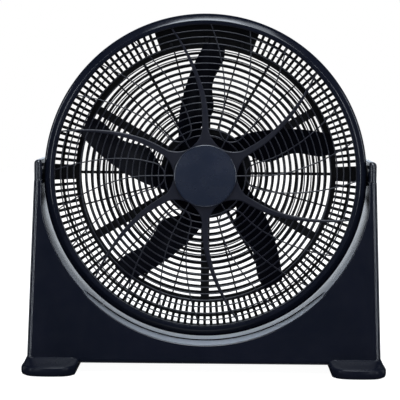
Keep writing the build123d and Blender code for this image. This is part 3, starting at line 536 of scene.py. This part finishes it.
def rear_ring():
    """The rear bezel, a plainer ring than the front one."""
    y_in, y_out = rear_ring_low.y, rear_ring_high.y
    r_in = SHELL_R - REAR_RING_WALL
    corners = [
        (r_in, y_in), (SHELL_R, y_in), (SHELL_R, y_in + 1), (SHELL_R - 2.5, y_out - 1),
        (r_in + 1.5, y_out), (r_in, y_out - 1),
    ]
    shape = Shape()
    lathe(shape, softened(corners, 1.2), segments=300)
    make_piece("rear_ring_bezel", shape, GLOSS, "drum", ["rear_ring"])


def hub_badge():
    """A plain domed disc with a narrow raised rim."""
    radius = badge_high.x
    front, back = badge_low.y, badge_high.y
    dome = []
    for t in steps_between(0, 1, 13):
        dome.append((max(AXIS_GAP, (radius - BADGE_RIM_W) * t), front + BADGE_DOME_H * t ** 2))
    # A narrow groove, then the raised rim, then the plain side and back.
    rim = [(radius - 1.9, front + 2.9), (radius - 1.2, front + 2.3), (radius - 0.3, front + 2.7),
           (radius, front + 3.6), (radius, back), (AXIS_GAP, back)]
    shape = Shape()
    lathe(shape, dome + rim, segments=180)
    make_piece("hub_badge_disc", shape, BADGE, "drum", ["hub_badge"])


# ---- Front grille ------------------------------------------------------------------
RIM_R = 258.3                               # where the ribs end, within the rim
RIM_INNER_R = 257.2
CORE_R = 69.0                               # the radius of the innermost ring
RING_COUNT = 17
SECTORS, SECTOR_ANGLE = 6, 60
# Ribs run straight out to the start radius and then turn by the slope, in degrees per mm.
SWIRL_SLOPE, SWIRL_START_R, SWIRL_SOFTNESS = 0.0935, 116.0, 20.0
VALLEY_BOTTOM_R, VALLEY_TOP_R = 54.0, 83.0  # the scallop in the hub web between two arms
ARCH_BOTTOM_R, ARCH_TOP_R, ARCH_HALF_ANGLE = 69.0, 90.0, 14.0
ARM_HALF_CORE, ARM_HALF_RIM, ARM_CORE_R = 5.6, 1.3, 90.0
BAR_HALF = 1.0                              # half the width of a ring or a thin rib
RING_SET_BACK, RIB_SET_BACK = 1.2, 0.3      # from the grille's front
WEB_ROUNDING, WEB_SCALLOP_ROOM = 1.6, 3.0   # edge radius, and the room for it in a scallop
WEB_ROOM_SHARE = 0.75                       # how much of that room the rounding may take


def swirl(radius):
    """How far a rib has turned at a radius, in degrees."""
    run = radius - SWIRL_START_R
    return SWIRL_SLOPE / 2 * (run + sqrt(run ** 2 + SWIRL_SOFTNESS ** 2))


def arm_half(radius):
    """Half the width of a main arm."""
    slope = (ARM_HALF_RIM - ARM_HALF_CORE) / (RIM_R - ARM_CORE_R)
    return ARM_HALF_CORE + slope * (radius - ARM_CORE_R)


def arm_edge(radius):
    """Angle from a valley's middle to the arm beside it, outside the scalloped web."""
    return SECTOR_ANGLE / 2 - degrees(asin(arm_half(radius) / radius))


def side_rib(radius):
    """Angle from the middle rib to a side rib."""
    spread = 1 + max(0, radius - ARCH_TOP_R) / (RIM_R - ARCH_TOP_R) / ARCH_HALF_ANGLE
    depth = max(0, ARCH_TOP_R - radius) / (ARCH_TOP_R - ARCH_BOTTOM_R)
    return ARCH_HALF_ANGLE * spread * sqrt(max(0, 1 - depth ** 2))


def bar_section(y_front):
    """The section of a bar with a rounded front, as (sideways, y)."""
    round_y = y_front + BAR_HALF
    section = [(-BAR_HALF, GRILLE_BACK_Y), (-BAR_HALF, round_y)]
    for step in range(1, 6):
        turn = pi * step / 6
        section.append((-BAR_HALF * cos(turn), round_y - BAR_HALF * sin(turn)))
    return section + [(BAR_HALF, round_y), (BAR_HALF, GRILLE_BACK_Y)]


def ring_bar(shape, radius):
    """A circular bar round the fan's axis."""
    section = bar_section(GRILLE_FRONT_Y + RING_SET_BACK)
    lathe(shape, [(radius + across, y) for across, y in section], segments=240)


def rib_bar(shape, path):
    """A bar along a path of (x, z) points round the axis."""
    section = bar_section(GRILLE_FRONT_Y + RIB_SET_BACK)
    loops = []
    last = len(path) - 1
    for i, here in enumerate(path):
        ahead = path[min(i + 1, last)] - path[max(i - 1, 0)]
        across = Vector((-ahead.y, ahead.x)).normalized()
        loops.append([
            Vector((here.x + across.x * u, y, AXIS_Z + here.y + across.y * u)) for u, y in section
        ])
    shape.skin(loops, caps=True)


def web_outline():
    """The closed outline of the hub web with its six arms, as (point, room for a rounded edge)."""
    points = []
    for sector in range(SECTORS):
        middle = SECTOR_ANGLE * sector
        for radius in steps_between(RIM_R + 1, VALLEY_TOP_R, 20)[:-1]:
            angle = middle + swirl(radius) - arm_edge(radius)
            points.append((flat_point(radius, angle), arm_half(radius)))
        opening = arm_edge(VALLEY_TOP_R)
        for turn in steps_between(-90, 90, 25):
            radius = VALLEY_TOP_R - (VALLEY_TOP_R - VALLEY_BOTTOM_R) * cos(radians(turn))
            angle = middle + swirl(radius) + opening * sin(radians(turn))
            points.append((flat_point(radius, angle), WEB_SCALLOP_ROOM))
        for radius in steps_between(VALLEY_TOP_R, RIM_R + 1, 20)[1:]:
            angle = middle + swirl(radius) + arm_edge(radius)
            points.append((flat_point(radius, angle), arm_half(radius)))
    return points


def grille_web(shape):
    """The hub web and arms as one plate with rounded front edges."""
    outline = web_outline()
    count = len(outline)
    inward = []
    for i in range(count):
        run = outline[(i + 1) % count][0] - outline[i - 1][0]
        inward.append(Vector((-run.y, run.x)).normalized())
    # Each level is the share of the rounding moved inward, and the share below the front.
    levels = [(0.0, None), (0.0, 1.0), (0.3, 0.45), (0.7, 0.12), (1.0, 0.0)]
    loops = []
    for inset, drop in levels:
        loop = []
        for (point, room), normal in zip(outline, inward):
            soft = min(WEB_ROUNDING, WEB_ROOM_SHARE * room)
            moved = point + normal * inset * soft
            y = GRILLE_BACK_Y if drop is None else GRILLE_FRONT_Y + drop * soft
            loop.append(Vector((moved.x, y, AXIS_Z + moved.y)))
        loops.append(loop)
    shape.skin(loops, caps=True)


def middle_rib(shape, middle):
    """The thin rib along the middle of a sector."""
    radii = steps_between(VALLEY_BOTTOM_R - 2, RIM_R, 30)
    rib_bar(shape, [flat_point(r, middle + swirl(r)) for r in radii])


def arched_ribs(shape, middle):
    """The two side ribs of a sector and the arch that joins them near the hub."""
    outward = steps_between(ARCH_TOP_R, RIM_R, 26)
    left = [flat_point(r, middle + swirl(r) - side_rib(r)) for r in reversed(outward)]
    arch = []
    for turn in steps_between(-90, 90, 17)[1:-1]:
        radius = ARCH_TOP_R - (ARCH_TOP_R - ARCH_BOTTOM_R) * cos(radians(turn))
        angle = middle + swirl(radius) + ARCH_HALF_ANGLE * sin(radians(turn))
        arch.append(flat_point(radius, angle))
    right = [flat_point(r, middle + swirl(r) + side_rib(r)) for r in outward]
    rib_bar(shape, left + arch + right)


def front_grille():
    """Swirl grille: rings, rim, thin ribs, arches and the hub web."""
    shape = Shape()
    pitch = (RIM_R - CORE_R) / RING_COUNT
    for ring in range(1, RING_COUNT + 1):
        ring_bar(shape, RIM_R - ring * pitch)
    rim = [(RIM_INNER_R, GRILLE_BACK_Y), (RIM_INNER_R, GRILLE_FRONT_Y),
           (GRILLE_R, GRILLE_FRONT_Y), (GRILLE_R, GRILLE_BACK_Y)]
    lathe(shape, softened(rim, 0.5), segments=300)
    for sector in range(SECTORS):
        middle_rib(shape, SECTOR_ANGLE * sector)
        arched_ribs(shape, SECTOR_ANGLE * sector)
    grille_web(shape)
    make_piece("front_grille_swirl", shape, SATIN, "drum", ["front_grille"])


# ---- Parts that keep their CAD shape, with softer edges ------------------------------
def soften_cad_part(node, body, edge_width, material):
    """Replaces a CAD part with a copy whose sharp edges are rounded by a width in millimetres."""
    weld_distance = 0.000002
    flat_angle = radians(1)
    work = bmesh.new()
    work.from_mesh(frame["nodes"][node].data)
    bmesh.ops.remove_doubles(work, verts=work.verts, dist=weld_distance)
    bmesh.ops.dissolve_limit(work, angle_limit=flat_angle, verts=work.verts, edges=work.edges)
    name = f"{node}_soft"
    mesh = bpy.data.meshes.new(name)
    work.to_mesh(mesh)
    work.free()
    add_piece(name, mesh, material, body, [node], sharp=30, edge_width=edge_width)


def soften_cad_parts():
    """The parts at the back and the blades, each with its own width of rounding."""
    soften_cad_part("control_housing", "drum", 1.2, GLOSS)
    soften_cad_part("carry_handle", "drum", 1.5, GLOSS)
    soften_cad_part("motor_rear_cover", "drum", 0.8, GLOSS)
    soften_cad_part("speed_knob", "knob", 0.5, MATT)
    soften_cad_part("fan_blade", "rotor", 0.4, BLADE)


# ---- Cradle base -------------------------------------------------------------------
# The trough is an arc round the drum's axis. A tighter arc blends it into each upright arm.
ARM_INNER_X = cap_low.x
TROUGH_R = 284.0
BLEND_R = 150.0
BLEND_X = ARM_INNER_X - BLEND_R
BLEND_Z = -sqrt((TROUGH_R - BLEND_R) ** 2 - BLEND_X ** 2)
BASE_TOP_Z = base_high.z
BASE_BOTTOM_Z = base_low.z
HALF_W_BOTTOM = base_high.x
HALF_W_TOP = cap_high.x - 0.3
HALF_D_BOTTOM = -base_low.y
HALF_D_TOP = 64.0
ARM_TOP_Z = cap_high.z
POCKET_DEPTH, POCKET_BACK_Y, POCKET_HALF_ANGLE = 2.0, -33.0, 46.5
POCKET_RAMP_ANGLE = 2.0                             # the pocket gets shallower over this angle
POCKET_CURVE_ANGLE, POCKET_CURVE_Y = 10.0, 29.0     # how its back edge curves at each end
STEP_HALF, STEP_SUPPORT = 0.3, 0.8                  # half lengths of the step down into it
LIP_R, CORNER_R = 2.0, 8.0
UNDERSIDE_RECESS = 3.5
SEAM = 0.45                                         # depth and half width of the shells' groove


def between(z, bottom, top):
    """A size that changes evenly from the base's bottom to the top of the arms."""
    return bottom + (z - BASE_BOTTOM_Z) / (ARM_TOP_Z - BASE_BOTTOM_Z) * (top - bottom)


def half_depth(z):
    """Half the base's size from front to back at a height."""
    return between(z, HALF_D_BOTTOM, HALF_D_TOP)


def half_width(z):
    """Half the base's width at a height."""
    return between(z, HALF_W_BOTTOM, HALF_W_TOP)


def cradle_profile():
    """The inner edge of the cradle's right half, from the arm down to the middle.

    Each entry is the point (x, z) and the unit direction away from the drum.
    Extra entries keep the outer corner and the pocket's end crisp."""
    entries = []
    blend_center = Vector((BLEND_X, AXIS_Z + BLEND_Z))
    for z in steps_between(BASE_TOP_Z, blend_center.y, 3)[:-1]:
        entries.append((Vector((ARM_INNER_X, z)), Vector((1, 0))))
    last = degrees(atan2(BLEND_Z, BLEND_X))
    for angle in steps_between(0, last, 14)[:-1]:
        away = flat_point(1, angle)
        entries.append((blend_center + away * BLEND_R, away))
    corner = degrees(atan2(BASE_BOTTOM_Z - AXIS_Z, HALF_W_BOTTOM))
    pocket_end = POCKET_HALF_ANGLE - 90
    angles = steps_between(last, -90, 76) + [corner + 0.1, corner - 0.1, pocket_end, pocket_end - 1]
    for angle in sorted(angles, reverse=True):
        away = flat_point(1, angle)
        entries.append((Vector((0, AXIS_Z)) + away * TROUGH_R, away))
    return entries


def outer_edge(point, away):
    """The point of the outline straight out from the trough, and the way back in."""
    almost_zero, tolerance = 1e-6, 0.01
    if away.x > almost_zero:
        side = point
        for _ in range(5):      # the side leans, so each round uses the last one's height
            side = point + away * (half_width(side.y) - point.x) / away.x
        if side.y > BASE_BOTTOM_Z - tolerance:
            return side, Vector((-1, 0))
    return point + away * (BASE_BOTTOM_Z - point.y) / away.y, Vector((0, 1))


def pocket_at(angle):
    """The pocket's depth and the y of its back edge, which curves forward at both ends."""
    from_end = POCKET_HALF_ANGLE - abs(angle + 90)
    depth = POCKET_DEPTH * min(1, max(0, from_end / POCKET_RAMP_ANGLE))
    back_y = POCKET_BACK_Y - POCKET_CURVE_Y * min(1, max(0, 1 - from_end / POCKET_CURVE_ANGLE)) ** 2
    return depth, back_y


def base_section(point, away, front):
    """One section of the base, from the seam in the trough round to the seam outside.

    Each row is a point (x, z) and a y. It is written for the front shell, and mirrored for the rear."""
    outer, inward = outer_edge(point, away)
    depth, back_y = pocket_at(degrees(atan2(away.y, away.x)))
    inner = point + away * (depth if front else 0.0)
    lip_y = LIP_R + 0.5 - half_depth(inner.y)
    rows = [
        (point + away * SEAM, 0.0),
        (point, -SEAM),
        (point, back_y + STEP_SUPPORT),
        (point, back_y + STEP_HALF),
        (inner, back_y - STEP_HALF),
        (inner, back_y - STEP_SUPPORT),
        (inner, (back_y - STEP_SUPPORT + lip_y) / 2),
        (inner, lip_y),
    ]
    for turn in steps_between(0, 90, 6):
        there = inner + away * LIP_R * (1 - cos(radians(turn)))
        rows.append((there, LIP_R - half_depth(there.y) - LIP_R * sin(radians(turn))))
    reach = CORNER_R / abs(away.x if inward.y == 0 else away.y)
    near, far = inner + away * LIP_R, outer - away * reach
    for t in (0.02, 0.35, 0.7, 0.98):       # close to both ends, to keep the front face flat
        there = near.lerp(far, t)
        rows.append((there, -half_depth(there.y)))
    for turn in steps_between(0, 90, 10):
        there = outer - away * reach * (1 - sin(radians(turn)))
        rows.append((there, CORNER_R - half_depth(there.y) - CORNER_R * cos(radians(turn))))
    recess = outer if inward.y == 0 else outer + Vector((0, UNDERSIDE_RECESS))
    rows += [
        (outer, CORNER_R + 0.5 - half_depth(outer.y)),
        (recess, CORNER_R + 0.6 - half_depth(outer.y)),
        (recess, -SEAM),
        (recess + inward * SEAM, 0.0),
    ]
    return rows


def base_shell(name, node, front):
    """The front or rear half of the cradle."""
    half = cradle_profile()
    hand = 1 if front else -1
    loops = []
    for side, entries in ((1, half), (-1, list(reversed(half))[1:])):
        for point, away in entries:
            rows = base_section(point, away, front)
            loops.append([Vector((side * p.x, hand * y, p.y)) for p, y in rows])
    shape = Shape()
    shape.skin(loops, caps=True)
    make_piece(name, shape, BASE_GLOSS, "base", [node], sharp=40)


def plan_loop(side, x_in, x_out, y_end, corner_r, bow, z):
    """An outline seen from above: straight sides, round corners and ends that bow outward."""
    near, far, corner_y = x_in + corner_r, x_out - corner_r, y_end - corner_r
    corners = [(far, corner_y, 0), (near, corner_y, 90), (near, -corner_y, 180), (far, -corner_y, 270)]
    points = []
    for x, y, start in corners:
        for turn in steps_between(start, start + 90, 9):
            points.append(Vector((x, y)) + flat_point(corner_r, turn))
        if start == 0:
            points += [Vector((along, y_end)) for along in steps_between(far, near, 9)[1:-1]]
        if start == 180:
            points += [Vector((along, -y_end)) for along in steps_between(near, far, 9)[1:-1]]
    half, middle = (x_out - x_in) / 2, (x_in + x_out) / 2
    loop = []
    for p in points:
        lean = bow * (1 - ((p.x - middle) / half) ** 2) - bow
        outward = 1 if p.y > 0 else -1
        y = p.y + outward * lean * min(1, abs(p.y) / y_end)
        loop.append(Vector((side * p.x, y, z)))
    return loop


def foot(side):
    """A low foot with a rounded sole, an edge and a top that slopes up to the base."""
    x_in, x_out, y_end = foot_low.x, foot_high.x, foot_high.y
    z_low, z_high = foot_low.z, foot_high.z
    # Each level: height, inner and outer x, y of the end, radius of the corners, bow of the ends.
    levels = [
        (z_low, x_in + 6.5, x_out - 4.0, y_end - 4.0, 20, 8),
        (z_low + 1.5, x_in + 5.5, x_out - 1.6, y_end - 1.8, 21, 8),
        (z_low + 4.5, x_in + 4.6, x_out - 0.3, y_end - 0.5, 22, 8),
        (z_low + 8.0, x_in + 3.8, x_out, y_end, 22, 8),
        (z_low + 13.0, x_in + 2.8, x_out - 0.1, y_end - 0.3, 22, 8),
        (z_low + 15.3, x_in + 2.4, x_out - 0.9, y_end - 1.8, 22, 8),
        (z_low + 16.8, x_in + 2.1, x_out - 2.2, y_end - 4.5, 21, 8),
        (z_low + 17.8, x_in + 1.9, x_out - 3.3, y_end - 8.5, 20, 8),
        (z_high - 4.0, x_in + 0.6, HALF_W_BOTTOM + 1.2, half_depth(z_high) + 1.5, 8, 1),
        (z_high, x_in, HALF_W_BOTTOM - 1.0, half_depth(z_high) - 1.0, 4, 0),
    ]
    shape = Shape()
    shape.skin([plan_loop(side, *outline, z) for z, *outline in levels], caps=True)
    node = "right_foot" if side == 1 else "left_foot"
    make_piece(f"{node}_shell", shape, FOOT_SATIN, "base", [node], sharp=50)


def arm_cap(side):
    """The rounded cap on an arm, with a soft front and a rounded outer top."""
    x_in, x_out, half_d = cap_low.x, cap_high.x, cap_high.y
    z_low, z_high = cap_low.z, cap_high.z
    top_r, corner_r = 7.0, 7.8
    inner_inset = 0.8           # the most that the inner side gives way at the top
    levels = [(z_low, 0.6), (z_low + 0.7, 0.0)]
    for turn in steps_between(0, 84, 10):
        levels.append((z_high - top_r + top_r * sin(radians(turn)), top_r * (1 - cos(radians(turn)))))
    loops = []
    for z, inset in levels:
        low, high = x_in + min(inset, inner_inset), x_out - inset
        radius = min(corner_r, (high - low) / 2 - 0.1)
        loops.append(plan_loop(side, low, high, half_d - inset, radius, 0, z))
    shape = Shape()
    shape.skin(loops, caps=True)
    node = "right_arm_cap" if side == 1 else "left_arm_cap"
    make_piece(f"{node}_shell", shape, BASE_GLOSS, "base", [node], sharp=50)


def cradle():
    """Both shells, the feet and the arm caps."""
    base_shell("cradle_front", "base_front_shell", True)
    base_shell("cradle_rear", "base_rear_shell", False)
    for side in (-1, 1):
        foot(side)
        arm_cap(side)


# ---- Build -------------------------------------------------------------------------
make_camera()
make_stage()
dress_cad_nodes()
front_ring()
rear_ring()
hub_badge()
front_grille()
cradle()
soften_cad_parts()
